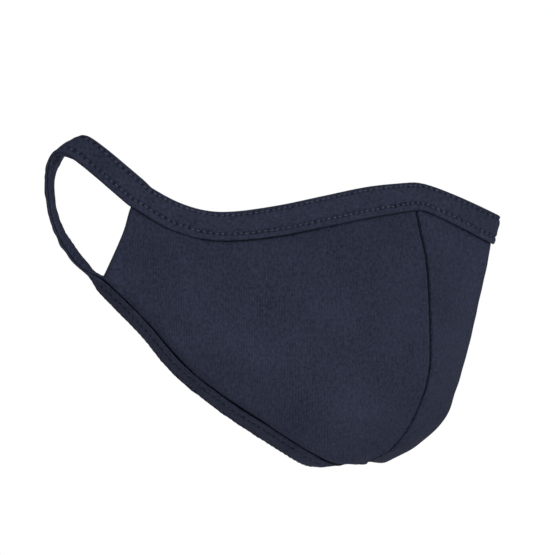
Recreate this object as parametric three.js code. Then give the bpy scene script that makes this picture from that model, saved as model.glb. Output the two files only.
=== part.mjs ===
// Cloth face mask in its worn form: a centre panel and two side panels sewn together, a folded
// strip that binds their top and bottom edges, and the same strip running free as two ear loops.
// Millimetres. +Z is up and the nose points along -Y, so the wearer's right side is at -X.
// The origin is where the top binding sits on the bridge of the nose.
import * as THREE from "three";

// Driving dimensions.
const panelThickness = 1.4; // two layers of jersey
const stripThickness = 1.0; // each leg of the folded binding strip
const strapThickness = 2.0; // the strip folded shut, where it runs free
const stripWidth = 11; // of the folded strip, both where it binds and where it runs free
const gap = 0.3; // between pieces that are sewn together
const endGap = 0.5; // where a loop runs on from a binding
const wallThickness = panelThickness + 2 * (gap + stripThickness); // a binding with the panel in it
const hemDepth = 10.4; // how far a panel reaches into its binding
const hemPull = 1.2; // less at the nose and at the ear, where the strip is pulled tight
const cheekBulge = 5; // how far the side panel swells between its four edges
const noseRoundness = 8; // sideways handle of the centre panel's section at the nose
const chinRoundness = 14; // and from the mouth down
const seamHandleAtNose = 0.2; // handle of the same section at the seam, as a share of its span
const seamHandleAtChin = 0.35;

// Facets.
const centreColumns = 7; // from the middle of the centre panel to a seam
const sideColumns = 15; // from a seam to the side panel's back edge
const hemRows = 2;
const mainRows = 12;
const strapSteps = 26;

// Outlines of one half, each point as [distance from the mirror plane, distance back, height].
// A panel's own edges lie inside the bindings, so these run under them.
const spline = (points) =>
  new THREE.CatmullRomCurve3(points.map((p) => new THREE.Vector3(...p)), false, "catmullrom");

const centreLine = spline([
  [0, -3.5, 3.3], [0, -0.6, -10.3], [0, 3.2, -28.5], [0, 8.9, -51.3],
  [0, 15, -69.5], [0, 22.2, -78.7], [0, 33.2, -86.3], [0, 44, -89.5],
]);
const seamLine = spline([
  [21, 27.9, 16], [23.5, 25.6, 1], [26.5, 22.6, -14.1], [29.5, 21.3, -40.7],
  [28.5, 22.2, -57.4], [26, 28.3, -73.7], [22, 37.4, -85.1], [17, 49, -88.3],
]);
const topEdge = spline([
  [21, 27.9, 16], [33.5, 44.6, 14.3], [43.5, 61.7, 10.8], [51.5, 78.8, 7.2],
  [57.5, 95.9, 4.8], [61, 107.3, 5.1], [64, 118.7, 8.6], [66.5, 130.1, 14.8],
]);
const backEdge = spline([
  [66.5, 130.1, 14.8], [67.2, 135.5, 8], [67.5, 138.7, -1.1], [67.2, 142.3, -10.3], [66.5, 146.1, -20.1],
]);
const jawLine = spline([
  [17, 49, -88.3], [27.5, 59.8, -89.1], [36.7, 69, -84.7], [46, 83.8, -74.9],
  [52.5, 98.2, -66.1], [58.5, 115.7, -52.1], [62.5, 128.2, -37.6], [64.8, 137.4, -28.1], [66.5, 146.1, -20.1],
]);
// The bottom hem turns in under the jaw and the chin, from the lines above to these.
const hemLine = spline([
  [11.9, 56.8, -88.6], [20.8, 66.4, -89.7], [28.5, 73, -87.2], [37.5, 86.7, -78],
  [44.2, 100.8, -69], [50.4, 118.1, -55.1], [54.5, 130.5, -40.5], [56.8, 139.7, -30.9], [58.3, 147.8, -23],
]);
const chinHem = new THREE.QuadraticBezierCurve3(
  new THREE.Vector3(0, 53.6, -88.8),
  new THREE.Vector3(7.5, 53.6, -88.7),
  hemLine.getPointAt(0),
);

const mix = (a, b, t) => a.clone().lerp(b, t);
const lateral = new THREE.Vector3(1, 0, 0);

// The side panel is a patch between its four edges: u runs back from the seam, v down from the top.
function sideFlat(u, v) {
  const seam = seamLine.getPointAt(v);
  const back = backEdge.getPointAt(v);
  const top = topEdge.getPointAt(u);
  const jaw = jawLine.getPointAt(u);
  const corners = mix(
    mix(seamLine.getPointAt(0), backEdge.getPointAt(0), u),
    mix(seamLine.getPointAt(1), backEdge.getPointAt(1), u),
    v,
  );
  return mix(seam, back, u).add(mix(top, jaw, v)).sub(corners);
}

function sidePoint(u, v) {
  const step = 0.01;
  const along = sideFlat(Math.min(u + step, 1), v).sub(sideFlat(Math.max(u - step, 0), v));
  const down = sideFlat(u, Math.min(v + step, 1)).sub(sideFlat(u, Math.max(v - step, 0)));
  const outward = down.cross(along).normalize();
  const swell = cheekBulge * Math.sin(Math.PI * u) * Math.sin(Math.PI * v ** 1.5);
  return sideFlat(u, v).addScaledVector(outward, swell);
}

// The centre panel's half section: a ridge or a round front at s = 0, in line with the side at s = 1.
function centrePoint(s, v) {
  const start = centreLine.getPointAt(v);
  const end = seamLine.getPointAt(v);
  const onward = sidePoint(0.02, v).sub(end).normalize();
  const belowNose = THREE.MathUtils.smoothstep(v, 0, 0.45);
  const roundness = THREE.MathUtils.lerp(noseRoundness, chinRoundness, belowNose);
  const seamHandle = THREE.MathUtils.lerp(seamHandleAtNose, seamHandleAtChin, belowNose);
  const span = start.distanceTo(end);
  const section = new THREE.CubicBezierCurve3(
    start,
    start.clone().addScaledVector(lateral, Math.min(roundness, span / 3)),
    end.clone().addScaledVector(onward, -seamHandle * span),
    end,
  );
  return section.getPoint(s);
}

// One column of points from the top edge to the bottom edge: hem rows, main rows, hem rows.
// place runs from 0 at the nose to 1 at the ear.
function column(place, pointAt, hemPoint) {
  const samples = Array.from({ length: 25 }, (_, i) => pointAt(i / 24));
  const length = samples.reduce((sum, p, i) => sum + (i ? p.distanceTo(samples[i - 1]) : 0), 0);
  const hemShare = (hemDepth - hemPull * (1 - Math.sin(Math.PI * place))) / length;
  const points = [];
  for (let i = 0; i < hemRows; i++) points.push(pointAt((hemShare * i) / hemRows));
  for (let i = 0; i <= mainRows; i++) points.push(pointAt(THREE.MathUtils.lerp(hemShare, 1, i / mainRows)));
  const jaw = points.at(-1);
  for (let i = 1; i <= hemRows; i++) points.push(mix(jaw, hemPoint, i / hemRows));
  return points;
}

function halfColumns() {
  const columns = [];
  for (let i = 0; i <= centreColumns + sideColumns; i++) {
    const place = i / (centreColumns + sideColumns);
    const s = i / centreColumns;
    const u = (i - centreColumns) / sideColumns;
    if (s < 1) columns.push(column(place, (v) => centrePoint(s, v), chinHem.getPoint(s)));
    else columns.push(column(place, (v) => sidePoint(u, v), hemLine.getPointAt(u)));
  }
  return columns;
}

// The whole outer surface as columns from the wearer's right ear, round the nose, to the left ear.
const mirrored = (p) => new THREE.Vector3(-p.x, p.y, p.z);
const half = halfColumns();
const surface = [...half.slice(1).reverse().map((c) => c.map(mirrored)), ...half];
const lastColumn = surface.length - 1;
const lastRow = surface[0].length - 1;
const rightSeam = sideColumns;
const leftSeam = lastColumn - sideColumns;

// Outward normals of the surface, from each point's neighbours.
const normals = surface.map((points, c) =>
  points.map((_, r) => {
    const across = surface[Math.min(c + 1, lastColumn)][r].clone().sub(surface[Math.max(c - 1, 0)][r]);
    const down = points[Math.min(r + 1, lastRow)].clone().sub(points[Math.max(r - 1, 0)]);
    return down.cross(across).normalize();
  }),
);
const lifted = (c, r, height) => surface[c][r].clone().addScaledVector(normals[c][r], height);

// Joins rings of points, one ring for each step, into one closed solid with flat ends.
function loft(rings) {
  const size = rings[0].length;
  const positions = rings.flat().flatMap((p) => p.toArray());
  const faces = [];
  for (let i = 0; i + 1 < rings.length; i++)
    for (let j = 0; j < size; j++) {
      const a = i * size + j;
      const b = i * size + ((j + 1) % size);
      faces.push(a, b, b + size, a, b + size, a + size);
    }
  const lastRing = (rings.length - 1) * size;
  for (const [j, k, l] of capTriangles(size)) {
    faces.push(l, k, j);
    faces.push(lastRing + j, lastRing + k, lastRing + l);
  }
  const geometry = new THREE.BufferGeometry();
  geometry.setAttribute("position", new THREE.Float32BufferAttribute(positions, 3));
  geometry.setIndex(faces);
  geometry.computeVertexNormals();
  return geometry;
}

// A ring is an outer run of points and an inner run back, so its cap is a ladder between the two.
function capTriangles(size) {
  const triangles = [];
  for (let i = 0; i < size / 2 - 1; i++) {
    const back = size - 1 - i;
    triangles.push([i, i + 1, back - 1], [i, back - 1, back]);
  }
  return triangles;
}

// A panel: the stretch of the surface between two columns, one panel thickness deep.
function panel(first, last) {
  const rings = [];
  for (let c = first; c <= last; c++) {
    // The seam edges draw back by half the gap.
    const towards = c === rightSeam || c === leftSeam ? (c === first ? c + 1 : c === last ? c - 1 : c) : c;
    const ring = [];
    for (const height of [0, -panelThickness])
      for (let i = 0; i <= lastRow; i++) {
        const r = height ? lastRow - i : i;
        const point = lifted(c, r, height);
        if (towards !== c) {
          const inward = lifted(towards, r, height).sub(point).normalize();
          point.addScaledVector(inward, gap / 2);
        }
        ring.push(point);
      }
    rings.push(ring);
  }
  return loft(rings);
}

// A binding: a channel around one edge of the panels. edgeRow is the panels' own edge and step
// leads from it into the panel.
function binding(edgeRow, step) {
  const top = gap + stripThickness;
  const inside = -(panelThickness + gap);
  const bottom = inside - stripThickness;
  const rings = surface.map((points, c) => {
    const beyond = points[edgeRow].clone().sub(points[edgeRow + step]).normalize();
    const at = (rows, height, out = 0) =>
      lifted(c, edgeRow + rows * step, height).addScaledVector(beyond, out);
    const outer = [
      at(2, top), at(1, top), at(0, top, gap), at(0, gap, top),
      at(0, inside, top), at(0, bottom, gap), at(1, bottom), at(2, bottom),
    ];
    const inner = [
      at(2, inside), at(1, inside), at(0, inside), at(0, inside, gap),
      at(0, gap, gap), at(0, gap), at(1, gap), at(2, gap),
    ];
    const ring = [...outer, ...inner];
    return step > 0 ? ring.reverse() : ring;
  });
  return loft(rings);
}

// The middle of the wall at the back edge, where a binding runs on as the ear loop.
function bindingEnd(edgeRow, step) {
  const middle = -panelThickness / 2;
  const fold = lifted(lastColumn, edgeRow, middle);
  const hem = lifted(lastColumn, edgeRow + hemRows * step, middle);
  const beyond = fold.clone().sub(hem).normalize();
  return { hem, fold: fold.addScaledVector(beyond, gap + stripThickness) };
}

// An ear loop: the strip runs from the top corner over the ear, turns flat to the head behind it and
// comes down to the jaw corner. Its two edges are the one that continues the bindings' hem and the
// one that continues their fold.
function earLoop() {
  const upper = bindingEnd(0, 1);
  const lower = bindingEnd(lastRow, -1);
  const hemEdge = spline([
    upper.hem.toArray(), [69.2, 143.4, 14.3], [71, 151.6, 21], [72.4, 158.4, 26.5], [73, 162, 28.5],
    [73, 164.9, 27.5], [72.9, 166.6, 24], [72.7, 167, 17.5], [72.4, 166.2, 8], [72, 163.9, -0.8],
    [71.2, 159.6, -8.8], [69.8, 153.8, -15.4], lower.hem.toArray(),
  ]);
  const foldEdge = spline([
    upper.fold.toArray(), [68, 137.6, 23.6], [68.6, 145.8, 30.8], [67.6, 152.4, 35], [65.6, 156.8, 33.6],
    [63.6, 161.2, 29.8], [62.6, 164.6, 24.8], [62.3, 166.8, 17.5], [62, 166, 8], [61.6, 163, -0.2],
    [61, 158.4, -7.4], [60, 153, -14.4], lower.fold.toArray(),
  ]);
  const rings = [];
  for (let i = 0; i <= strapSteps; i++) {
    const t = i / strapSteps;
    const hem = hemEdge.getPoint(t);
    const fold = foldEdge.getPoint(t);
    const centre = mix(hem, fold, 0.5);
    const across = fold.clone().sub(hem).normalize();
    const along = mix(hemEdge.getTangent(t), foldEdge.getTangent(t), 0.5);
    const out = across.clone().cross(along).normalize();
    const atEnd = 1 - THREE.MathUtils.smoothstep(Math.min(t, 1 - t), 0, 0.09);
    const halfThickness = THREE.MathUtils.lerp(strapThickness, wallThickness, atEnd) / 2;
    const halfWidth = stripWidth / 2;
    if (i === 0) centre.addScaledVector(along.normalize(), endGap);
    if (i === strapSteps) centre.addScaledVector(along.normalize(), -endGap);
    const at = (side, height) =>
      centre.clone().addScaledVector(across, side * halfWidth).addScaledVector(out, height * halfThickness);
    rings.push([
      at(-1, 0.4), at(-0.88, 1), at(0, 1), at(0.88, 1), at(1, 0.4),
      at(1, -0.4), at(0.88, -1), at(0, -1), at(-0.88, -1), at(-1, -0.4),
    ]);
  }
  return loft(rings);
}

// The same piece on the wearer's other side.
function mirror(geometry) {
  const copy = geometry.clone();
  copy.scale(-1, 1, 1);
  const index = copy.getIndex();
  for (let i = 0; i < index.count; i += 3) {
    const second = index.getX(i + 1);
    index.setX(i + 1, index.getX(i + 2));
    index.setX(i + 2, second);
  }
  copy.computeVertexNormals();
  return copy;
}

const cloth = (color) => new THREE.MeshStandardMaterial({ color, roughness: 0.92, metalness: 0 });
const panelCloth = cloth(0x2d3040);
const centreCloth = cloth(0x2c2f40);
const stripCloth = cloth(0x2e303e);

const mask = new THREE.Group();

function add(name, geometry, material) {
  const mesh = new THREE.Mesh(geometry, material);
  mesh.name = name;
  mask.add(mesh);
}

const leftLoop = earLoop();
add("centre_panel", panel(rightSeam, leftSeam), centreCloth);
add("side_panel_right", panel(0, rightSeam), panelCloth);
add("side_panel_left", panel(leftSeam, lastColumn), panelCloth);
add("top_band", binding(0, 1), stripCloth);
add("bottom_band", binding(lastRow, -1), stripCloth);
add("ear_loop_right", mirror(leftLoop), stripCloth);
add("ear_loop_left", leftLoop, stripCloth);

export default mask;
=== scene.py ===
import math

import bpy
import bmesh
import numpy as np
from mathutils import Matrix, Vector


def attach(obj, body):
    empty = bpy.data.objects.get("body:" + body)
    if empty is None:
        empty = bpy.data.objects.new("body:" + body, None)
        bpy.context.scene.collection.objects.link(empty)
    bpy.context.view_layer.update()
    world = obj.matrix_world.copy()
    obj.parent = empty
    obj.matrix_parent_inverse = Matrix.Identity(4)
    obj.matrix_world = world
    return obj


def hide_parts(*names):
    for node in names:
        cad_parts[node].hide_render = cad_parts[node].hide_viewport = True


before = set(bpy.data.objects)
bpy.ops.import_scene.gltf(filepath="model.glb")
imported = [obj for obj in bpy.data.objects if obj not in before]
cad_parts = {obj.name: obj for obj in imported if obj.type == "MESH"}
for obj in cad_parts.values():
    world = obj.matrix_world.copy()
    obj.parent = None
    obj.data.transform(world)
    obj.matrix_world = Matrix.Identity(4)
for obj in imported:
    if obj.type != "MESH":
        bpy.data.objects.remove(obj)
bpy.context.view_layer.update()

# The mask's form, in metres. One half: distance from the mirror plane, distance back from the nose, height.
rails = {
    "centre": [(0, -0.0043, 0.0034), (0, -0.0011, -0.0103), (0, 0.0028, -0.0285), (0, 0.0084, -0.0515),
               (0, 0.0145, -0.0699), (0, 0.0219, -0.0792), (0, 0.033, -0.0867), (0, 0.044, -0.0896)],
    "seam": [(0.021, 0.0279, 0.016), (0.0235, 0.0256, 0.001), (0.0265, 0.0226, -0.0141),
             (0.0295, 0.0213, -0.0407), (0.0285, 0.0222, -0.0574), (0.026, 0.0283, -0.0737),
             (0.022, 0.0374, -0.0851), (0.017, 0.049, -0.0883)],
    "top": [(0.021, 0.0279, 0.016), (0.0335, 0.0446, 0.0143), (0.0435, 0.0617, 0.0108),
            (0.0515, 0.0788, 0.0072), (0.0575, 0.0959, 0.0048), (0.061, 0.1073, 0.0051),
            (0.064, 0.1187, 0.0086), (0.0665, 0.1301, 0.0148)],
    "back": [(0.0665, 0.1301, 0.0148), (0.0672, 0.1348, 0.008), (0.0675, 0.1377, -0.0011),
             (0.0672, 0.1416, -0.0103), (0.0665, 0.1461, -0.0201)],
    "jaw": [(0.017, 0.049, -0.0883), (0.0275, 0.0598, -0.0895), (0.0367, 0.069, -0.0847),
            (0.046, 0.0838, -0.0753), (0.0525, 0.0982, -0.0661), (0.0585, 0.1157, -0.0521),
            (0.0625, 0.1282, -0.0376), (0.0648, 0.1374, -0.0281), (0.0665, 0.1461, -0.0201)],
    "hem": [(0.0119, 0.0568, -0.0886), (0.0208, 0.0664, -0.0901), (0.0285, 0.073, -0.0872),
            (0.0375, 0.0867, -0.0785), (0.0442, 0.1008, -0.069), (0.0504, 0.1181, -0.0551),
            (0.0545, 0.1305, -0.0405), (0.0568, 0.1397, -0.0309), (0.0583, 0.1478, -0.023)],
}
chinHem = [(0, 0.0536, -0.0888), (0.0075, 0.0536, -0.0887)]  # ends on the first point of the hem
# An ear loop's two edges, between the corners of the panel.
loopHem = [(0.0692, 0.1434, 0.0143), (0.071, 0.1516, 0.021), (0.0724, 0.1584, 0.0265),
           (0.073, 0.162, 0.0285), (0.073, 0.1649, 0.0275), (0.0729, 0.1666, 0.024),
           (0.0727, 0.167, 0.0175), (0.0724, 0.1662, 0.008), (0.072, 0.1639, -0.0008),
           (0.0712, 0.1596, -0.0088), (0.0698, 0.1538, -0.0154)]
loopFold = [(0.068, 0.1376, 0.0236), (0.0686, 0.1458, 0.0308), (0.0676, 0.1524, 0.035),
            (0.0656, 0.1568, 0.0336), (0.0636, 0.1612, 0.0298), (0.0626, 0.1646, 0.0248),
            (0.0623, 0.1668, 0.0175), (0.062, 0.166, 0.008), (0.0616, 0.163, -0.0002),
            (0.061, 0.1584, -0.0074), (0.06, 0.153, -0.0144)]

cloth = {
    "centreShare": 7 / 22,  # of the way from nose to ear that the centre panel takes
    "bulge": 0.005,
    "noseRoundness": 0.008,
    "chinRoundness": 0.014,
    "seamHandleAtNose": 0.2,
    "seamHandleAtChin": 0.35,
    "chinFrom": 0.45,  # from this share of the way down, the section is as it is at the chin
    "hemDepth": 0.0104,
    "hemPull": 0.0012,
    "hemDrop": 0.0009,  # the top binding is widest over the cheek, narrowest at the seam and the ear
    "dropPlace": 0.72,
    "dropWidth": 0.17,
    "hemRise": 0.0012,
    "seamRiseWidth": 0.09,
    "earRiseWidth": 0.06,
    "thickness": 0.0014,
    "topRows": 20,
    "mainRows": 104,
    "hemRows": 20,
    "foldReach": 7,  # rows on each side of the jaw that its soft fold takes
    "foldRounds": 6,
}
jawRow = cloth["topRows"] + cloth["mainRows"]


def unit(vectors):
    return vectors / np.maximum(np.linalg.norm(vectors, axis=-1, keepdims=True), 1e-12)


def smoothstep(x, low, high):
    t = np.clip((x - low) / (high - low), 0, 1)
    return t * t * (3 - 2 * t)


def hump(x, middle, width):
    return np.exp(-(((x - middle) / width) ** 2))


def catmull(points, t):  # a smooth line through every point, t from 0 to 1
    p = np.array(points, float)
    p = np.vstack([2 * p[0] - p[1], p, 2 * p[-1] - p[-2]])
    spans = len(p) - 3
    x = np.clip(np.asarray(t, float) * spans, 0, spans - 1e-9)
    i = x.astype(int)
    f = (x - i)[..., None]
    a, b, c, d = p[i], p[i + 1], p[i + 2], p[i + 3]
    m0, m1 = (c - a) / 2, (d - b) / 2
    return b + f * m0 + f**2 * (3 * (c - b) - 2 * m0 - m1) + f**3 * (2 * (b - c) + m0 + m1)


def rail(points):  # the same line, read by its share of length
    dense = catmull(points, np.linspace(0, 1, 3001))
    steps = np.linalg.norm(np.diff(dense, axis=0), axis=1)
    share = np.concatenate([[0], np.cumsum(steps)])
    share /= share[-1]
    return lambda t: np.stack([np.interp(t, share, dense[:, k]) for k in range(3)], -1)


line = {name: rail(points) for name, points in rails.items()}


def sideFlat(u, v):
    seam, back, top, jaw = line["seam"](v), line["back"](v), line["top"](u), line["jaw"](u)
    u, v = u[..., None], v[..., None]
    corners = (rails["seam"][0], rails["back"][0], rails["seam"][-1], rails["back"][-1])
    a, b, c, d = (np.array(corner) for corner in corners)
    across = (a * (1 - u) + b * u) * (1 - v) + (c * (1 - u) + d * u) * v
    return seam * (1 - u) + back * u + top * (1 - v) + jaw * v - across


def sidePoint(u, v):
    step = 0.01
    along = sideFlat(np.minimum(u + step, 1), v) - sideFlat(np.maximum(u - step, 0), v)
    down = sideFlat(u, np.minimum(v + step, 1)) - sideFlat(u, np.maximum(v - step, 0))
    swell = cloth["bulge"] * np.sin(math.pi * u) * np.sin(math.pi * v**1.5)
    return sideFlat(u, v) + unit(np.cross(down, along)) * swell[..., None]


def centrePoint(s, v):
    start, end = line["centre"](v), line["seam"](v)
    onward = unit(sidePoint(np.full_like(v, 0.02), v) - end)  # so that the two panels meet smoothly
    belowNose = smoothstep(v, 0, cloth["chinFrom"])
    span = np.linalg.norm(end - start, axis=-1)
    nose, chin = cloth["noseRoundness"], cloth["chinRoundness"]
    roundness = nose + (chin - nose) * belowNose
    nose, chin = cloth["seamHandleAtNose"], cloth["seamHandleAtChin"]
    seamHandle = nose + (chin - nose) * belowNose
    reach = np.minimum(roundness, span / 3)
    first = start + np.array((1.0, 0, 0)) * reach[..., None]
    second = end - onward * (seamHandle * span)[..., None]
    s = s[..., None]
    return (1 - s) ** 3 * start + 3 * (1 - s) ** 2 * s * first + 3 * (1 - s) * s**2 * second + s**3 * end


def clothPoint(place, v):
    share = cloth["centreShare"]
    s = np.clip(place / share, 0, 1)
    u = np.clip((place - share) / (1 - share), 0, 1)
    return np.where((place < share)[..., None], centrePoint(s, v), sidePoint(u, v))


def hemPoint(place):
    share = cloth["centreShare"]
    s = np.clip(place / share, 0, 1)[:, None]
    u = np.clip((place - share) / (1 - share), 0, 1)
    a, b, c = np.array(chinHem[0]), np.array(chinHem[1]), np.array(rails["hem"][0])
    chin = (1 - s) ** 2 * a + 2 * (1 - s) * s * b + s**2 * c
    return np.where((place < share)[:, None], chin, line["hem"](u))


# The cloth as a grid: one column for each place, from -1 at the right ear over 0 at the nose to 1.
# Rows run down: the top hem, the open cloth and the hem that turns in under the jaw.
def clothGrid(places):
    place = np.abs(places)
    samples = clothPoint(*np.meshgrid(place, np.linspace(0, 1, 60), indexing="ij"))
    length = np.linalg.norm(np.diff(samples, axis=1), axis=-1).sum(1)
    hemDepth = cloth["hemDepth"] - cloth["hemPull"] * (1 - np.sin(math.pi * place))
    hemDepth += cloth["hemDrop"] * hump(place, cloth["dropPlace"], cloth["dropWidth"])
    hemDepth -= cloth["hemRise"] * hump(place, cloth["centreShare"], cloth["seamRiseWidth"])
    hemDepth -= cloth["hemRise"] * hump(place, 1, cloth["earRiseWidth"])
    hemShare = hemDepth / length
    top = np.linspace(0, 1, cloth["topRows"] + 1)[:-1]
    main = np.linspace(0, 1, cloth["mainRows"] + 1)
    v = np.concatenate([hemShare[:, None] * top, hemShare[:, None] + (1 - hemShare[:, None]) * main], 1)
    grid = clothPoint(np.repeat(place[:, None], v.shape[1], 1), v)
    under = np.linspace(0, 1, cloth["hemRows"] + 1)[1:, None]
    jaw = grid[:, -1:]
    grid = np.concatenate([grid, jaw + (hemPoint(place)[:, None] - jaw) * under], 1)
    low, high = jawRow - cloth["foldReach"], jawRow + cloth["foldReach"] + 1
    for _ in range(cloth["foldRounds"]):
        before, after = grid[:, low - 1:high - 1], grid[:, low + 1:high + 1]
        grid[:, low:high] = (before + 2 * grid[:, low:high] + after) / 4
    grid[places < 0, :, 0] *= -1
    down = np.gradient(grid, axis=1)
    across = np.gradient(grid, axis=0)
    return grid, unit(np.cross(down, across))


def waves(x, y, length, seed):  # smooth unevenness of about this wavelength, mostly from -1 to 1
    rng = np.random.default_rng(seed)
    total = 0
    for _ in range(9):
        turn, phase = rng.uniform(0, math.tau, 2)
        scale = math.tau / (length * rng.uniform(0.7, 1.5))
        total = total + np.sin((x * math.cos(turn) + y * math.sin(turn)) * scale + phase)
    return total / 3


def drift(run, amount, length, seed):  # a slow wander along the cloth
    return amount * waves(run, run * 0, length, seed)


def addPiece(name, vertices, faces, uv=None):
    mesh = bpy.data.meshes.new(name)
    mesh.from_pydata(vertices.reshape(-1, 3).tolist(), [], faces)
    piece = bpy.data.objects.new(name, mesh)
    bpy.context.scene.collection.objects.link(piece)
    if uv is not None:
        layer = mesh.uv_layers.new(name="knit")
        corners = np.array([loop.vertex_index for loop in mesh.loops])
        layer.data.foreach_set("uv", uv.reshape(-1, 2)[corners].ravel())
    shell = bmesh.new()
    shell.from_mesh(mesh)
    bmesh.ops.recalc_face_normals(shell, faces=shell.faces)
    shell.to_mesh(mesh)
    shell.free()
    mesh.polygons.foreach_set("use_smooth", [True] * len(mesh.polygons))
    return piece


# The three panels: an outer and an inner skin that meet round the edge.
panels = {
    "centreLength": 0.037,  # from the mirror plane to a seam
    "sideLength": 0.112,  # from a seam to the back edge
    "centreColumns": 36,
    "sideColumns": 122,
    "seamColumns": 22,
    "seamBand": 0.005,  # the stretch beside a seam that has narrow columns
    "seamGap": 0.00007,  # the two sides of a seam stand a hair apart, in shares of the way to the ear
    "soft": 0.00035,  # gentle unevenness of worn cloth
    "softLength": 0.03,
    "fine": 0.000105,
    "fineLength": 0.012,
    "seamFlat": 0.004,
    "ridge": (0.0002, 0.0024, 0.0014),  # beside a seam: height, distance from it and width
    "pucker": (0.00011, 0.0018, 0.0022),
    "puckerPitch": 0.0052,
    "puckerDrift": (2, 0.02, 3),  # how far the puckers leave their pitch, over what length, and a seed
    "groove": (0.00122, 0, 0.00052),
    "press": 0.00045,  # the top binding presses the edge flat
    "pressFade": 0.002,
    "gather": 0.00007,
    "gatherPitch": 0.0071,
    "gatherDrift": (2.5, 0.03, 8),
    "gatherFade": 0.006,
    "swell": (0.0011, 0.0042, 0.0033),  # above the lower binding: height, distance from it and width
    "centreTuck": 0.0002,  # how far the cloth sinks where it goes into the lower binding
    "sideTuck": 0.0007,
    "tuckFade": 0.0012,
    "lowest": -0.00125,
    "highest": 0.002,
    "highestInHem": 0.0001,
    "edgeRound": 0.0005,
    "innerShare": 0.4,  # of the outer skin's unevenness that the inner skin has, within these limits
    "innerLowest": -0.0002,
    "innerHighest": 0.0003,
    "seamShade": (1, 0, 0.00045),  # painted shade for the crease attribute: its darkest values, and how wide they are
    "jawShade": (0.7, 0, 0.0007),
    "bandShade": (0.5, 0, 0.0006),
    "mapRow": 60,  # the row that a side panel's knit is laid out along
    "mapSlope": 1.03,
}


def peak(distance, shape):
    height, middle, width = shape
    return height * hump(distance, middle, width)


def panelPlaces(first, last, length, columns, seamLast):  # columns are closest together at the seam
    fine = panels["seamBand"] / length * (last - first)
    near = fine * np.linspace(0, 1, panels["seamColumns"] + 1) ** 1.6
    if seamLast:
        return np.concatenate([np.linspace(first, last - fine, columns + 1)[:-1], last - near[::-1]])
    return np.concatenate([first + near, np.linspace(first + fine, last, columns + 1)[1:]])


def clothRuns(grid):  # distance along the cloth from its first column and from its first row
    across = np.cumsum(np.linalg.norm(np.diff(grid, axis=0), axis=-1), axis=0)
    down = np.cumsum(np.linalg.norm(np.diff(grid, axis=1), axis=-1), axis=1)
    return np.pad(across, ((1, 0), (0, 0))), np.pad(down, ((0, 0), (1, 0)))


def hemRuns(down):  # distance below the top binding and above the jaw
    hem, jaw = down[:, cloth["topRows"]][:, None], down[:, jawRow][:, None]
    return np.clip(down - hem, 0, None), np.clip(jaw - down, 0, None)


def panelHeight(grid, across, down, seams, tuck):  # how far the outer skin stands off the plain form
    height = panels["soft"] * waves(grid[..., 1] + grid[..., 0], grid[..., 2], panels["softLength"], 11)
    height += panels["fine"] * waves(grid[..., 1], grid[..., 2], panels["fineLength"], 5)
    for column in seams:
        distance = np.abs(across - across[column])
        gather = np.sin(math.tau * down / panels["puckerPitch"] + drift(down, *panels["puckerDrift"]))
        height *= 1 - hump(distance, 0, panels["seamFlat"])
        height += peak(distance, panels["ridge"]) + gather * peak(distance, panels["pucker"])
        height -= peak(distance, panels["groove"])
    fromBand, toJaw = hemRuns(down)
    height -= panels["press"] * np.exp(-fromBand / panels["pressFade"])
    gather = np.sin(math.tau * across / panels["gatherPitch"] + drift(across, *panels["gatherDrift"]))
    height += panels["gather"] * gather * np.exp(-fromBand / panels["gatherFade"])
    underBand = smoothstep(down - down[:, jawRow][:, None], -0.001, 0.001)
    height += peak(toJaw, panels["swell"]) * (1 - underBand)
    height -= tuck * np.exp(-toJaw / panels["tuckFade"])
    height = np.clip(height, panels["lowest"], panels["highest"])
    for hem in (slice(None, cloth["topRows"]), slice(jawRow, None)):
        height[:, hem] = np.minimum(height[:, hem], panels["highestInHem"])
    return height


def shellFaces(index, rim):  # the outer skin, the inner skin and two rows of quads between them
    count = index.size
    corners = (index[:-1, :-1], index[:-1, 1:], index[1:, 1:], index[1:, :-1])
    outer = np.stack(corners, -1).reshape(-1, 4)
    skins = np.stack([outer, outer[:, ::-1] + count], 1).reshape(-1, 4)
    nextRim = np.roll(rim, -1)
    edge = 2 * count + np.arange(len(rim))
    nextEdge = np.roll(edge, -1)
    near = np.stack([rim, nextRim, nextEdge, edge], -1)
    far = np.stack([edge, nextEdge, nextRim + count, rim + count], -1)
    return np.concatenate([skins, np.stack([near, far], 1).reshape(-1, 4)]).tolist()


def panelMap(grid, across, down, isSide):  # wales run down the cloth
    if not isSide:
        return np.stack([across - across[len(across) // 2], -down], -1)
    row = grid[:, panels["mapRow"]]
    plan = np.concatenate([[0], np.cumsum(np.linalg.norm(np.diff(row[:, :2], axis=0), axis=-1))])
    order = np.argsort(row[:, 1])
    u = np.interp(grid[..., 1], row[order, 1], plan[order])
    return np.stack([u, grid[..., 2] * panels["mapSlope"]], -1)


def addCreaseShade(piece, values):  # painted shade in the seams, beside the bindings and in the stitch rows, for the material
    creaseShade = piece.data.attributes.new("creaseShade", "FLOAT", "POINT")
    creaseShade.data.foreach_set("value", np.clip(values, 0, 1).astype(np.float32))


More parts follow.
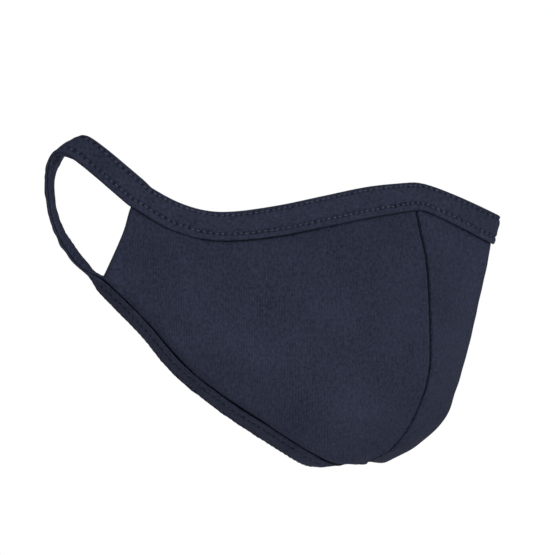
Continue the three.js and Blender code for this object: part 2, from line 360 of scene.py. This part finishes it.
def makePanel(name, places, seams, backEdge=None):
    isSide = backEdge is not None
    grid, normal = clothGrid(places)
    across, down = clothRuns(grid)
    height = panelHeight(grid, across, down, seams, panels["sideTuck" if isSide else "centreTuck"])
    outer = grid + normal * height[..., None]
    innerHeight = np.clip(height * panels["innerShare"], panels["innerLowest"], panels["innerHighest"])
    inner = grid + normal * (innerHeight - cloth["thickness"])[..., None]
    middle = (outer + inner) / 2
    if isSide:  # the turned edge is round
        neighbour = backEdge + (1 if backEdge == 0 else -1)
        middle[backEdge] += unit(middle[backEdge] - middle[neighbour]) * panels["edgeRound"]
    index = np.arange(height.size).reshape(height.shape)
    rim = np.concatenate([index[0, :], index[1:, -1], index[-1, -2::-1], index[-2:0:-1, 0]])
    vertices = np.concatenate([outer.reshape(-1, 3), inner.reshape(-1, 3), middle.reshape(-1, 3)[rim]])
    skinMap = panelMap(grid, across, down, isSide).reshape(-1, 2)
    wholeMap = np.concatenate([skinMap, skinMap, skinMap[rim]])
    piece = addPiece(name, vertices, shellFaces(index, rim), wholeMap)
    fromBand, toJaw = hemRuns(down)
    # painted shadow along the jaw, under the top binding and in the seams
    shadow = peak(toJaw, panels["jawShade"]) + peak(fromBand, panels["bandShade"])
    for column in seams:
        shadow = np.maximum(shadow, peak(np.abs(across - across[column]), panels["seamShade"]))
    shadow = shadow.ravel()
    addCreaseShade(piece, np.concatenate([shadow, 0 * shadow, shadow[rim]]))
    print(name, "is", across[-1].max().round(4), "by", down[:, -1].max().round(4), "along the cloth")
    return piece


share = cloth["centreShare"]
centreHalf = panelPlaces(0, share, panels["centreLength"], panels["centreColumns"], True)
sideHalf = panelPlaces(share, 1, panels["sideLength"], panels["sideColumns"], False)
sideHalf[0] += panels["seamGap"]
centreHalf[-1] -= panels["seamGap"]
centrePlaces = np.concatenate([-centreHalf[:0:-1], centreHalf])
lastColumn = len(sideHalf) - 1
centrePanel = makePanel("centre_panel_cloth", centrePlaces, (0, len(centrePlaces) - 1))
sidePanelLeft = makePanel("side_panel_cloth_left", sideHalf, (0,), lastColumn)
sidePanelRight = makePanel("side_panel_cloth_right", -sideHalf[::-1], (lastColumn,), 0)
print("panels ready")


# The binding strip: one folded strip round both edges of the panels and through both ear loops.
strip = {
    "step": 0.0005,
    "topLength": 0.166,  # from the nose to the ear, and back under the jaw to the chin
    "bottomLength": 0.142,
    "skin": 0.00095,  # each leg of the fold
    "overPanel": 0.00074,  # half the room between the legs where the panel is between them
    "shut": 0.00004,
    "fold": 0.0009,  # how far the fold lies beyond the panel's edge
    "crown": 0.0008,
    "crownSteps": 8,
    "chinBack": 0.0024,  # under the chin it lies a little further back, over this share of the jaw
    "chinFrom": 0.72,
    "chinTo": 0.95,
    "bridgeWidth": 0.005,  # it bridges the kink at the seam, which lies in the front part of the mask
    "bridgePlace": 1.1,
    "frontPart": 0.05,
    "bridgeSmooth": 7,  # stations
    "smooth": 3,
    "outSmooth": 5,
    "roomSmooth": 6,
    "loopHem": -0.0048,  # a loop's edges, from the middle of its route
    "loopFold": 0.0051,
    "hemRow": 0.0024,  # the two rows of stitches, from the open edge and from the fold
    "foldRow": 0.0007,
    "rowWander": (0.00015, 0.04),  # how far a row leaves its place, and over what length
    "rowWidth": 0.0006,
    "rowDepth": 0.00046,
    "bite": 0.6,  # how much deeper it is where the needle went through
    "puff": 0.00022,  # between the rows
    "puffWidth": 0.0034,
    "rough": 0.00012,
    "roughLength": 0.007,
    "lip": 0.00012,  # the open edge waves a little
    "lipFade": 0.0012,
    "lipPitch": 0.0083,
    "lipDrift": (2, 0.03),
    "lipRound": 0.00045,
    "stitch": 0.0024,
}
bases = cloth["topRows"] + 2  # points across the strip, from its open edge to its fold


def clothStations(length, rows, towardsNose=False):
    places = np.linspace(0, 1, int(length / strip["step"]))
    grid, normal = clothGrid(np.concatenate([-places[:0:-1], places]))
    half = slice(len(places) - 1, None)
    grid, normal = grid[half][:, rows], normal[half][:, rows]
    if towardsNose:
        grid, normal = grid[::-1], normal[::-1]
    base = grid - normal * (cloth["thickness"] / 2)
    beyond = unit(base[:, -1] - base[:, -2])
    base = np.concatenate([base, (base[:, -1] + beyond * strip["fold"])[:, None]], 1)
    return base, np.concatenate([normal, normal[:, -1:]], 1)


def loopStations():
    hem = [topBase[-1, 0]] + [np.array(p) for p in loopHem] + [bottomBase[0, 0]]
    fold = [topBase[-1, -1]] + [np.array(p) for p in loopFold] + [bottomBase[0, -1]]
    t = np.linspace(0, 1, 2001)
    middle = (catmull(hem, t) + catmull(fold, t)) / 2
    run = np.concatenate([[0], np.cumsum(np.linalg.norm(np.diff(middle, axis=0), axis=1))])
    t = np.interp(np.linspace(0, run[-1], int(run[-1] / strip["step"]))[1:-1], run, t)
    hemEdge, foldEdge = catmull(hem, t), catmull(fold, t)
    middle = (hemEdge + foldEdge) / 2
    across = unit(foldEdge - hemEdge)
    out = unit(np.cross(np.gradient(middle, axis=0), across))
    side = np.linspace(strip["loopHem"], strip["loopFold"], bases)
    base = middle[:, None] + across[:, None] * side[None, :, None]
    return base, np.repeat(out[:, None], bases, 1)


topBase, topOut = clothStations(strip["topLength"], np.arange(cloth["topRows"], -1, -1))
bottomBase, bottomOut = clothStations(
    strip["bottomLength"], np.arange(jawRow, jawRow + cloth["hemRows"] + 1), towardsNose=True)
loopBase, loopOut = loopStations()
stretches = (len(topBase), len(loopBase), len(bottomBase))
flip = np.array((-1.0, 1, 1))


def smoothRound(values, width):  # smooth along the closed loop of the strip
    reach = int(3 * width)
    weights = np.exp(-(np.arange(-reach, reach + 1) / width) ** 2 / 2)
    weights /= weights.sum()
    return sum(w * np.roll(values, k, axis=0) for w, k in zip(weights, range(-reach, reach + 1)))


def bothHalves(half, mirror=1):  # from the nose round by the left ear to the chin, and back by the right
    return np.concatenate([half, half[-2:0:-1] * mirror])


backward = unit(bottomBase[:, -1] - bottomBase[:, 0])
towardsChin = smoothstep(np.linspace(0, 1, len(bottomBase)), strip["chinFrom"], strip["chinTo"])
backward *= (strip["chinBack"] * towardsChin)[:, None]
stripBase = bothHalves(np.concatenate([topBase, loopBase, bottomBase + backward[:, None]]), flip)
stripOut = bothHalves(np.concatenate([topOut, loopOut, bottomOut]), flip)
onPanel = bothHalves(np.repeat((1.0, 0, 1), stretches))
onTop = bothHalves(np.repeat((1.0, 0, 0), stretches))
fromSeam = np.abs(stripBase[:, 0, 0]) - rails["seam"][0][0] * strip["bridgePlace"]
onSeam = hump(fromSeam, 0, strip["bridgeWidth"]) * (stripBase[:, 0, 1] < strip["frontPart"])
onSeam = onSeam[:, None, None]
wide, narrow = smoothRound(stripBase, strip["bridgeSmooth"]), smoothRound(stripBase, strip["smooth"])
stripBase = wide * onSeam + narrow * (1 - onSeam)
stripOut = unit(smoothRound(stripOut, strip["outSmooth"]))
room = strip["shut"] + (strip["overPanel"] - strip["shut"]) * smoothRound(onPanel, strip["roomSmooth"])
stripMiddle = stripBase.mean(1)
stripRun = np.concatenate([[0], np.cumsum(np.linalg.norm(np.diff(stripMiddle, axis=0), axis=1))])
stripLoop = stripRun[-1] + np.linalg.norm(stripMiddle[0] - stripMiddle[-1])
stitchPitch = stripLoop / round(stripLoop / strip["stitch"])
stripBeyond = unit(stripBase[:, -1] - stripBase[:, -2])
_, stripWidths = clothRuns(stripBase)
print("strip of", round(stripLoop, 3), "m in", len(stripBase), "stations")


# One leg of the fold: how high its outer skin stands, the places of its rows and the painted shade in them.
def makeLeg(across, run, seed):
    wander = drift(run, *strip["rowWander"], seed)
    hemRow = strip["hemRow"] + wander
    foldRow = across[:, -1:] - strip["foldRow"] + wander
    height = strip["skin"] + strip["puff"] * hump(across, (hemRow + foldRow) / 2, strip["puffWidth"])
    bite = 1 + strip["bite"] * np.cos(math.tau * run / stitchPitch)
    rows = hump(across, hemRow, strip["rowWidth"]) + hump(across, foldRow, strip["rowWidth"])
    height -= strip["rowDepth"] * bite * rows
    height += strip["rough"] * waves(run, across * 1.5, strip["roughLength"], seed + 1)
    wave = np.sin(math.tau * run / strip["lipPitch"] + drift(run, *strip["lipDrift"], seed + 2))
    height += strip["lip"] * wave * np.exp(-across / strip["lipFade"])
    # painted shade in the stitch rows, darkest where the needle went through
    creaseShade = (bite - 1 + strip["bite"]) / (2 * strip["bite"]) * rows
    return {"height": height, "rows": (hemRow, foldRow), "creaseShade": creaseShade}


face = makeLeg(stripWidths, stripRun[:, None], 21)
back = makeLeg(stripWidths, stripRun[:, None], 31)


def stripRings():
    base, out, gap = stripBase, stripOut, room[:, None, None]
    outer = base + out * (gap + face["height"][..., None])
    inner = base - out * (gap + back["height"][..., None])
    half = room[:, None] + (face["height"][:, -1:] + back["height"][:, -1:]) / 2
    crown = []
    for k in range(1, strip["crownSteps"]):
        angle = math.pi / 2 - math.pi * k / strip["crownSteps"]
        rise = stripBeyond * strip["crown"] * math.cos(angle)
        crown.append(base[:, -1] + out[:, -1] * half * math.sin(angle) + rise)
    sideways = unit(base[:, 0] - base[:, 1])
    lips = []
    for sign, leg in ((-1, back), (1, face)):
        for k in (1, 2, 3):
            angle = math.pi * k / 4
            level = room[:, None] + leg["height"][:, :1] / 2 * (1 - sign * math.cos(angle))
            edge = sideways * strip["lipRound"] * math.sin(angle)
            lips.append(base[:, 0] + out[:, 0] * sign * level + edge)
    slit = list(range(0, bases - 1, 4)) + [bases - 1]
    slitInner = base[:, slit] - out[:, slit] * gap
    slitOuter = (base[:, slit] + out[:, slit] * gap)[:, ::-1]
    parts = [outer, np.stack(crown, 1), inner[:, ::-1], np.stack(lips[:3], 1), slitInner, slitOuter,
             np.stack(lips[3:], 1)]
    return np.concatenate(parts, 1)


rings = stripRings()
ringSteps = np.linalg.norm(np.roll(rings, -1, axis=1) - rings, axis=-1)
ringRun = np.pad(np.cumsum(ringSteps, axis=1)[:, :-1], ((0, 0), (1, 0)))


def ringFaces(count, size):  # quads that join one ring of points to the next
    faces = []
    for a in range(0, (count - 1) * size, size):
        for j in range(size):
            k = (j + 1) % size
            faces.append((a + j, a + k, a + size + k, a + size + j))
    return faces


def endFaces(size):  # a ladder from the outside of the fold to the slit, and a piece for each lip
    legs = 2 * bases + strip["crownSteps"] - 1
    slit = list(range(legs + 3, size - 3))[::-1]
    marks = np.linspace(0, len(slit) - 1, legs).round().astype(int)
    faces = []
    for k in range(legs - 1):
        far, near = slit[marks[k + 1]], slit[marks[k]]
        faces.append((k, k + 1, far, near) if far != near else (k, k + 1, far))
    faces.append((0, slit[0], *range(size - 3, size)))
    faces.append((slit[-1], legs - 1, *range(legs, legs + 3))[::-1])
    return faces


def makeStrip(name, first, last):
    pick = np.arange(first, last + 1) % len(rings)
    part = rings[pick]
    count, size = part.shape[:2]
    faces = ringFaces(count, size)
    ends = endFaces(size)
    faces += ends
    faces += [tuple(k + (count - 1) * size for k in end[::-1]) for end in ends]
    run = stripRun[pick] + (pick < first) * stripLoop
    piece = addPiece(name, part, faces, np.stack([ringRun[pick], np.repeat(run[:, None], size, 1)], -1))
    piece.data.set_sharp_from_angle(angle=math.radians(70))  # its ends are square
    # painted shade of the stitch rows on both faces of the strip
    creaseShade = np.zeros((count, size))
    creaseShade[:, :bases] = face["creaseShade"][pick]
    innerStart = bases + strip["crownSteps"] - 1
    creaseShade[:, innerStart:innerStart + bases] = back["creaseShade"][pick][:, ::-1]
    addCreaseShade(piece, creaseShade.ravel())
    return piece


earStation = len(topBase) - 1
jawStation = earStation + len(loopBase) + 1
total = len(rings)
topBinding = makeStrip("top_band_cloth", total - earStation, total + earStation)
loopLeft = makeStrip("ear_loop_cloth_left", earStation, jawStation)
bottomBinding = makeStrip("bottom_band_cloth", jawStation, total - jawStation)
loopRight = makeStrip("ear_loop_cloth_right", total - jawStation, total - earStation)
print("strip pieces ready")


# The stitches: one made from a sphere and copied along both rows on both faces.
thread = {
    "length": 0.00185,
    "radius": 0.00023,
    "sink": 0.00028,  # its ends go down into the cloth
    "flare": 0.25,
    "twist": 0.14,
    "proud": 0.00006,
    "pulled": 0.00007,
    "slack": (1, 0.05, 17),  # it is pulled tighter here and there
    "deeper": 0.00019,  # how much deeper it lies everywhere but over the cheeks
    "noseReach": 0.02,
    "cheekSmooth": 20,
    "shortest": 0.92,
    "longest": 1.06,
    "strayAcross": 0.00005,
    "strayOut": 0.00004,
}


def modelStitch():
    bpy.ops.object.select_all(action="DESELECT")
    bpy.ops.mesh.primitive_uv_sphere_add(segments=6, ring_count=7, radius=1, location=(0, 0, 0))
    stitch = bpy.context.object
    bpy.ops.object.mode_set(mode="EDIT")
    bpy.ops.mesh.select_all(action="SELECT")
    bpy.ops.transform.resize(value=(thread["radius"], thread["radius"], thread["length"] / 2))
    bpy.ops.object.mode_set(mode="OBJECT")
    points = np.array([v.co[:] for v in stitch.data.vertices])
    order = np.lexsort(points.round(7).T)  # a new sphere has its points in no fixed order
    points = points[order]
    place = np.argsort(order)
    faces = []
    for quad in stitch.data.polygons:
        corners = [int(place[k]) for k in quad.vertices]
        first = corners.index(min(corners))
        faces.append(tuple(corners[first:] + corners[:first]))
    faces.sort()
    bpy.data.objects.remove(stitch, do_unlink=True)
    share = points[:, 2] / (thread["length"] / 2)
    points[:, 1] -= thread["sink"] * share**4
    points[:, :2] *= (1 + thread["flare"] * share**2)[:, None]
    return points, faces


stitchPoints, stitchFaces = modelStitch()
overCheek = smoothRound(onTop, thread["cheekSmooth"]) * (1 - hump(stripMiddle[:, 0], 0, thread["noseReach"]))


def makeStitches(name, first, last):
    rng = np.random.default_rng(7)
    pick = np.arange(first, last + 1) % total
    run = stripRun[pick] + (pick < first) * stripLoop
    centres = (np.arange(round(2 * stripLoop / stitchPitch)) + 0.5) * stitchPitch
    centres = centres[(centres >= run[0]) & (centres < run[-1])]
    pull = thread["pulled"] * (1 + drift(run, *thread["slack"])) + thread["deeper"] * (1 - overCheek[pick])
    vertices, faces = [], []
    for side, leg, row in ((1, face, 0), (1, face, 1), (-1, back, 0), (-1, back, 1)):
        for distance in centres:
            station = int(round(np.interp(distance, run, np.arange(len(run)))))
            i = pick[station]
            widths = stripWidths[i]
            d = float(leg["rows"][row][i, 0]) + rng.normal(0, thread["strayAcross"])
            base = np.array([np.interp(d, widths, stripBase[i, :, k]) for k in range(3)])
            out = unit(np.array([np.interp(d, widths, stripOut[i, :, k]) for k in range(3)])) * side
            level = room[i] + np.interp(d, widths, leg["height"][i]) + thread["proud"] - pull[station]
            level += rng.normal(0, thread["strayOut"])
            after, before = min(station + 1, len(pick) - 1), max(station - 1, 0)
            along = stripMiddle[pick[after]] - stripMiddle[pick[before]]
            along = unit(along - out * along.dot(out))
            sideways = np.cross(out, along)
            turn = rng.normal(0, thread["twist"])
            length = along * math.cos(turn) + sideways * math.sin(turn)
            width = sideways * math.cos(turn) - along * math.sin(turn)
            size = rng.uniform(thread["shortest"], thread["longest"])
            placed = stitchPoints @ np.array((width, out, length)) * size
            start = len(vertices) * len(stitchPoints)
            vertices.append(base + out * level + placed)
            faces += [tuple(start + k for k in corners) for corners in stitchFaces]
    return addPiece(name, np.concatenate(vertices), faces)


topStitches = makeStitches("top_band_stitches", total - earStation, total + earStation)
loopStitchesLeft = makeStitches("ear_loop_stitches_left", earStation, jawStation)
bottomStitches = makeStitches("bottom_band_stitches", jawStation, total - jawStation)
loopStitchesRight = makeStitches("ear_loop_stitches_right", total - jawStation, total - earStation)
print("stitches ready")


# Materials.
def addNode(tree, kind, place, **settings):
    node = tree.nodes.new(kind)
    node.location = place
    for key, value in settings.items():
        setattr(node, key, value)
    return node


def mathNode(tree, operation, place, first, second=None):
    node = addNode(tree, "ShaderNodeMath", place, operation=operation)
    for socket, value in zip(node.inputs, (first, second)):
        if isinstance(value, (int, float)):
            socket.default_value = value
        elif value is not None:
            tree.links.new(value, socket)
    return node.outputs[0]


def newGroup(name, inputs, outputs):
    tree = bpy.data.node_groups.new(name, "ShaderNodeTree")
    for label, value in inputs.items():
        socket = tree.interface.new_socket(label, in_out="INPUT", socket_type="NodeSocketFloat")
        socket.default_value = value
    for label, kind in outputs.items():
        tree.interface.new_socket(label, in_out="OUTPUT", socket_type=kind)
    return tree, addNode(tree, "NodeGroupInput", (-1400, 0)), addNode(tree, "NodeGroupOutput", (900, 0))


# Jersey: columns of small V-shaped loops, as height for the bump and as painted shade in the colour, with
# slub streaks of yarn tone, from the cloth's own map.
def buildKnit():
    tree, given, result = newGroup(
        "knit loops", {"Wale": 0.0006, "Course": 0.0005, "Slub": 0.3},
        {"Height": "NodeSocketFloat", "ShadeAndSlub": "NodeSocketFloat"})
    uv = addNode(tree, "ShaderNodeUVMap", (-1400, 300), uv_map="knit")
    wander = addNode(tree, "ShaderNodeTexNoise", (-1200, 500))
    wander.inputs["Scale"].default_value = 160
    wander.inputs["Detail"].default_value = 3
    split = addNode(tree, "ShaderNodeSeparateXYZ", (-1000, 300))
    tree.links.new(uv.outputs["UV"], split.inputs[0])
    tree.links.new(uv.outputs["UV"], wander.inputs["Vector"])
    shift = mathNode(tree, "MULTIPLY", (-1000, 500), wander.outputs["Fac"], 0.7)
    column = mathNode(tree, "DIVIDE", (-800, 300), split.outputs[0], given.outputs["Wale"])
    column = mathNode(tree, "ADD", (-640, 300), column, shift)
    row = mathNode(tree, "DIVIDE", (-800, 100), split.outputs[1], given.outputs["Course"])
    row = mathNode(tree, "ADD", (-640, 100), row, shift)
    inWale = mathNode(tree, "PINGPONG", (-480, 300), column, 0.5)  # 0 between wales, 0.5 in the middle
    lean = mathNode(tree, "MULTIPLY", (-320, 200), inWale, 1.3)
    slant = mathNode(tree, "ADD", (-160, 100), row, lean)
    loops = mathNode(tree, "PINGPONG", (0, 100), slant, 0.5)
    loops = mathNode(tree, "MULTIPLY", (160, 100), loops, 2.0)
    wale = mathNode(tree, "MULTIPLY", (-160, 300), inWale, 2.0)
    wale = mathNode(tree, "POWER", (0, 300), wale, 0.6)
    height = mathNode(tree, "MULTIPLY", (320, 200), wale, mathNode(tree, "ADD", (240, 60), loops, 0.8))
    slub = addNode(tree, "ShaderNodeTexNoise", (0, -200))
    slub.inputs["Scale"].default_value = 900
    slub.inputs["Detail"].default_value = 4
    slub.inputs["Roughness"].default_value = 0.7
    stretch = addNode(tree, "ShaderNodeVectorMath", (-200, -300), operation="MULTIPLY")
    stretch.inputs[1].default_value = (2.0, 0.5, 1)  # streaks run along the wales
    tree.links.new(uv.outputs["UV"], stretch.inputs[0])
    tree.links.new(stretch.outputs[0], slub.inputs["Vector"])
    uneven = mathNode(tree, "MULTIPLY", (320, -100), slub.outputs["Fac"], given.outputs["Slub"])
    raised = mathNode(tree, "ADD", (560, 200), height, uneven)
    tree.links.new(raised, result.inputs["Height"])
    streaks = mathNode(tree, "SUBTRACT", (460, -100), slub.outputs["Fac"], 0.5)
    streaks = mathNode(tree, "MULTIPLY", (600, -100), streaks, 2.4)
    # painted shade from the loops' height, with the slub streaks of yarn tone
    shade = mathNode(tree, "MULTIPLY", (460, 0), height, 0.5)
    shade = mathNode(tree, "ADD", (680, 0), shade, streaks)
    tree.links.new(shade, result.inputs["ShadeAndSlub"])
    return tree


# Heather: the fine fuzz and the slow unevenness of dye, as one value round 0.5.
def buildHeather():
    tree, given, result = newGroup(
        "heather", {"Fuzz": 0.5, "Patches": 0.4}, {"Value": "NodeSocketFloat"})
    where = addNode(tree, "ShaderNodeTexCoord", (-1400, 300))
    fine = addNode(tree, "ShaderNodeTexNoise", (-1000, 300))
    fine.inputs["Scale"].default_value = 900
    fine.inputs["Detail"].default_value = 2
    fine.inputs["Roughness"].default_value = 0.5
    slow = addNode(tree, "ShaderNodeTexNoise", (-1000, 0))
    slow.inputs["Scale"].default_value = 38
    slow.inputs["Detail"].default_value = 3
    for noise in (fine, slow):
        tree.links.new(where.outputs["Object"], noise.inputs["Vector"])
    fuzz = mathNode(tree, "SUBTRACT", (-700, 300), fine.outputs["Fac"], 0.5)
    fuzz = mathNode(tree, "MULTIPLY", (-500, 300), fuzz, given.outputs["Fuzz"])
    patch = mathNode(tree, "SUBTRACT", (-700, 0), slow.outputs["Fac"], 0.5)
    patch = mathNode(tree, "MULTIPLY", (-500, 0), patch, given.outputs["Patches"])
    both = mathNode(tree, "ADD", (-200, 200), fuzz, patch)
    tree.links.new(mathNode(tree, "ADD", (0, 200), both, 0.5), result.inputs["Value"])
    return tree


knitLoops = buildKnit()
heather = buildHeather()

finishes = {
    "navy jersey": {
        "dark": (0.0058, 0.0066, 0.0136),
        "light": (0.0302, 0.0350, 0.0606),
        "fuzz": 0.9,
        "patches": 0.5,
        "wale": 0.00062,
        "course": 0.00050,
        # how far painted shade darkens the creases
        "creaseShade": 0.75,
        "roughness": 0.93,
    },
    "navy binding": {
        "dark": (0.0062, 0.0072, 0.0146),
        "light": (0.0322, 0.0376, 0.0640),
        "fuzz": 0.9,
        "patches": 0.5,
        "wale": 0.00058,
        "course": 0.00046,
        # how far painted shade darkens the creases
        "creaseShade": 0.5,
        "roughness": 0.94,
    },
    "navy thread": {
        "dark": (0.010, 0.012, 0.020),
        "light": (0.062, 0.071, 0.102),
        "fuzz": 1.2,
        "patches": 0.3,
        "roughness": 0.7,
    },
}
knitDepth = 0.00014
knitContrast = 0.36


def clothMaterial(name):
    finish = finishes[name]
    material = bpy.data.materials.new(name)
    material.use_nodes = True
    tree = material.node_tree
    shader = tree.nodes["Principled BSDF"]
    shader.inputs["Roughness"].default_value = finish["roughness"]
    shader.inputs["Sheen Weight"].default_value = 0.02
    shader.inputs["Sheen Roughness"].default_value = 0.5
    shader.inputs["Sheen Tint"].default_value = (0.4, 0.48, 0.9, 1)
    shader.inputs["Specular IOR Level"].default_value = 0.06
    mixed = addNode(tree, "ShaderNodeGroup", (-900, 0), node_tree=heather)
    mixed.inputs["Fuzz"].default_value = finish["fuzz"]
    mixed.inputs["Patches"].default_value = finish["patches"]
    value = mixed.outputs["Value"]
    if "wale" in finish:
        knit = addNode(tree, "ShaderNodeGroup", (-900, -300), node_tree=knitLoops)
        knit.inputs["Wale"].default_value = finish["wale"]
        knit.inputs["Course"].default_value = finish["course"]
        # painted shade of the knit loops, with slub streaks of yarn tone, in the colour
        shade = mathNode(tree, "SUBTRACT", (-650, -200), knit.outputs["ShadeAndSlub"], 0.5)
        shade = mathNode(tree, "MULTIPLY", (-560, -260), shade, knitContrast)
        value = mathNode(tree, "ADD", (-500, -60), value, shade)
        bump = addNode(tree, "ShaderNodeBump", (-300, -400))
        bump.inputs["Distance"].default_value = knitDepth
        bump.inputs["Strength"].default_value = 0.8
        tree.links.new(knit.outputs["Height"], bump.inputs["Height"])
        tree.links.new(bump.outputs["Normal"], shader.inputs["Normal"])
    # painted shade: the crease attribute darkens the colour
    if "creaseShade" in finish:
        creaseShade = addNode(tree, "ShaderNodeAttribute", (-650, 200), attribute_name="creaseShade")
        paintedShade = mathNode(tree, "MULTIPLY", (-480, 160), creaseShade.outputs["Fac"], finish["creaseShade"])
        value = mathNode(tree, "SUBTRACT", (-400, 60), value, paintedShade)
    colour = addNode(tree, "ShaderNodeValToRGB", (-300, 0))
    colour.color_ramp.elements[0].color = (*finish["dark"], 1)
    colour.color_ramp.elements[1].color = (*finish["light"], 1)
    tree.links.new(value, colour.inputs["Fac"])
    tree.links.new(colour.outputs["Color"], shader.inputs["Base Color"])
    return material


jersey, bindingCloth, threadFinish = (clothMaterial(name) for name in finishes)
for piece in (centrePanel, sidePanelLeft, sidePanelRight):
    piece.data.materials.append(jersey)
for piece in (topBinding, bottomBinding, loopLeft, loopRight):
    piece.data.materials.append(bindingCloth)
for piece in (topStitches, bottomStitches, loopStitchesLeft, loopStitchesRight):
    piece.data.materials.append(threadFinish)
print("materials ready")

# What each piece stands for.
for piece, node in ((centrePanel, "centre_panel"), (sidePanelLeft, "side_panel_left"),
                    (sidePanelRight, "side_panel_right")):
    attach(piece, "root")
    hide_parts(node)
for piece, node in ((topBinding, "top_band"), (bottomBinding, "bottom_band"),
                    (loopLeft, "ear_loop_left"), (loopRight, "ear_loop_right")):
    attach(piece, "root")
    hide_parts(node)
for piece in (topStitches, bottomStitches, loopStitchesLeft, loopStitchesRight):
    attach(piece, "root")

# The studio: a pale floor well below the mask, which hangs where a face would hold it, and a soft sky.
studio = {
    "floor": -0.42,
    "floorSize": 12,
    "white": 0.92,
    "skyLight": 0.4,
    "skySide": 0.26,  # how much brighter the sky is on the wearer's right, above and in front
    "skyTop": 0.17,
    "skyFront": 0.06,
    "aim": (0, 0.08, -0.02),
}


def makeFloor():
    bpy.ops.object.select_all(action="DESELECT")
    bpy.ops.mesh.primitive_plane_add(size=studio["floorSize"], location=(0, 0, studio["floor"]))
    floor = bpy.context.object
    floor.name = "floor"
    material = bpy.data.materials.new("pale floor")
    material.use_nodes = True
    tree = material.node_tree
    shader = tree.nodes["Principled BSDF"]
    shader.inputs["Base Color"].default_value = (studio["white"],) * 3 + (1,)
    shader.inputs["Roughness"].default_value = 0.9
    shader.inputs["Specular IOR Level"].default_value = 0.1
    shader.inputs["Emission Color"].default_value = (1, 1, 1, 1)
    shader.inputs["Emission Strength"].default_value = 0.08
    side = addNode(tree, "ShaderNodeNewGeometry", (-200, 400))
    clear = addNode(tree, "ShaderNodeBsdfTransparent", (0, -400))
    choose = addNode(tree, "ShaderNodeMixShader", (500, 200))  # the floor is only there from above
    tree.links.new(side.outputs["Backfacing"], choose.inputs["Fac"])
    tree.links.new(shader.outputs[0], choose.inputs[1])
    tree.links.new(clear.outputs[0], choose.inputs[2])
    tree.links.new(choose.outputs[0], tree.nodes["Material Output"].inputs["Surface"])
    floor.data.materials.append(material)
    return floor


def makeSky():  # plain white to the camera, and shaded for everything that it lights
    world = bpy.data.worlds.new("studio")
    bpy.context.scene.world = world
    world.use_nodes = True
    sky = world.node_tree
    where = addNode(sky, "ShaderNodeTexCoord", (-1000, 0))
    split = addNode(sky, "ShaderNodeSeparateXYZ", (-800, 0))
    sky.links.new(where.outputs["Generated"], split.inputs[0])
    right = mathNode(sky, "MULTIPLY", (-600, 100), split.outputs["X"], -studio["skySide"])
    above = mathNode(sky, "MULTIPLY", (-600, -100), split.outputs["Z"], studio["skyTop"])
    front = mathNode(sky, "MULTIPLY", (-600, -300), split.outputs["Y"], -studio["skyFront"])
    strength = mathNode(sky, "ADD", (-500, 0), right, above)
    strength = mathNode(sky, "ADD", (-400, 0), strength, front)
    strength = mathNode(sky, "ADD", (-200, 0), strength, studio["skyLight"])
    shaded = sky.nodes["Background"]
    shaded.inputs["Color"].default_value = (1, 1, 1, 1)
    sky.links.new(strength, shaded.inputs["Strength"])
    plain = addNode(sky, "ShaderNodeBackground", (0, -200))
    plain.inputs["Color"].default_value = (1, 1, 1, 1)
    path = addNode(sky, "ShaderNodeLightPath", (-200, 300))
    choose = addNode(sky, "ShaderNodeMixShader", (300, 100))
    sky.links.new(path.outputs["Is Camera Ray"], choose.inputs["Fac"])
    sky.links.new(shaded.outputs[0], choose.inputs[1])
    sky.links.new(plain.outputs[0], choose.inputs[2])
    sky.links.new(choose.outputs[0], sky.nodes["World Output"].inputs["Surface"])


lights = {
    "key": {"at": (-1.5, -0.7, 0.65), "size": 1.0, "power": 25.5},
    "fill": {"at": (-1.5, 0.9, -0.1), "size": 1.4, "power": 2.5},
    "far": {"at": (1.1, 1.1, 0.9), "size": 1.2, "power": 9},
}


def addLight(name, light):
    lamp = bpy.data.lights.new(name, "AREA")
    lamp.size = light["size"]
    lamp.energy = light["power"]
    holder = bpy.data.objects.new(name, lamp)
    bpy.context.scene.collection.objects.link(holder)
    holder.location = light["at"]
    towards = Vector(studio["aim"]) - Vector(light["at"])
    holder.rotation_euler = towards.to_track_quat("-Z", "Y").to_euler()


# The camera looks square at the wearer's right side from far off.
shot = {
    "distance": 9.0,
    "nearSide": 0.05,  # how far the cheek is this side of the mirror plane
    "width": 0.2109,  # of what it sees there
    "back": 0.0798,
    "height": -0.0188,
    "sensor": 36,
    "reach": 40,
}


def addCamera():
    camera = bpy.data.cameras.new("camera")
    camera.sensor_width = shot["sensor"]
    camera.lens = shot["sensor"] * (shot["distance"] - shot["nearSide"]) / shot["width"]
    camera.clip_end = shot["reach"]
    viewer = bpy.data.objects.new("camera", camera)
    bpy.context.scene.collection.objects.link(viewer)
    viewer.location = (-shot["distance"], shot["back"], shot["height"])
    viewer.rotation_euler = (math.pi / 2, 0, -math.pi / 2)
    bpy.context.scene.camera = viewer


makeFloor()
makeSky()
for name, light in lights.items():
    addLight(name, light)
addCamera()
bpy.context.scene.view_settings.view_transform = "Standard"
print("studio ready")
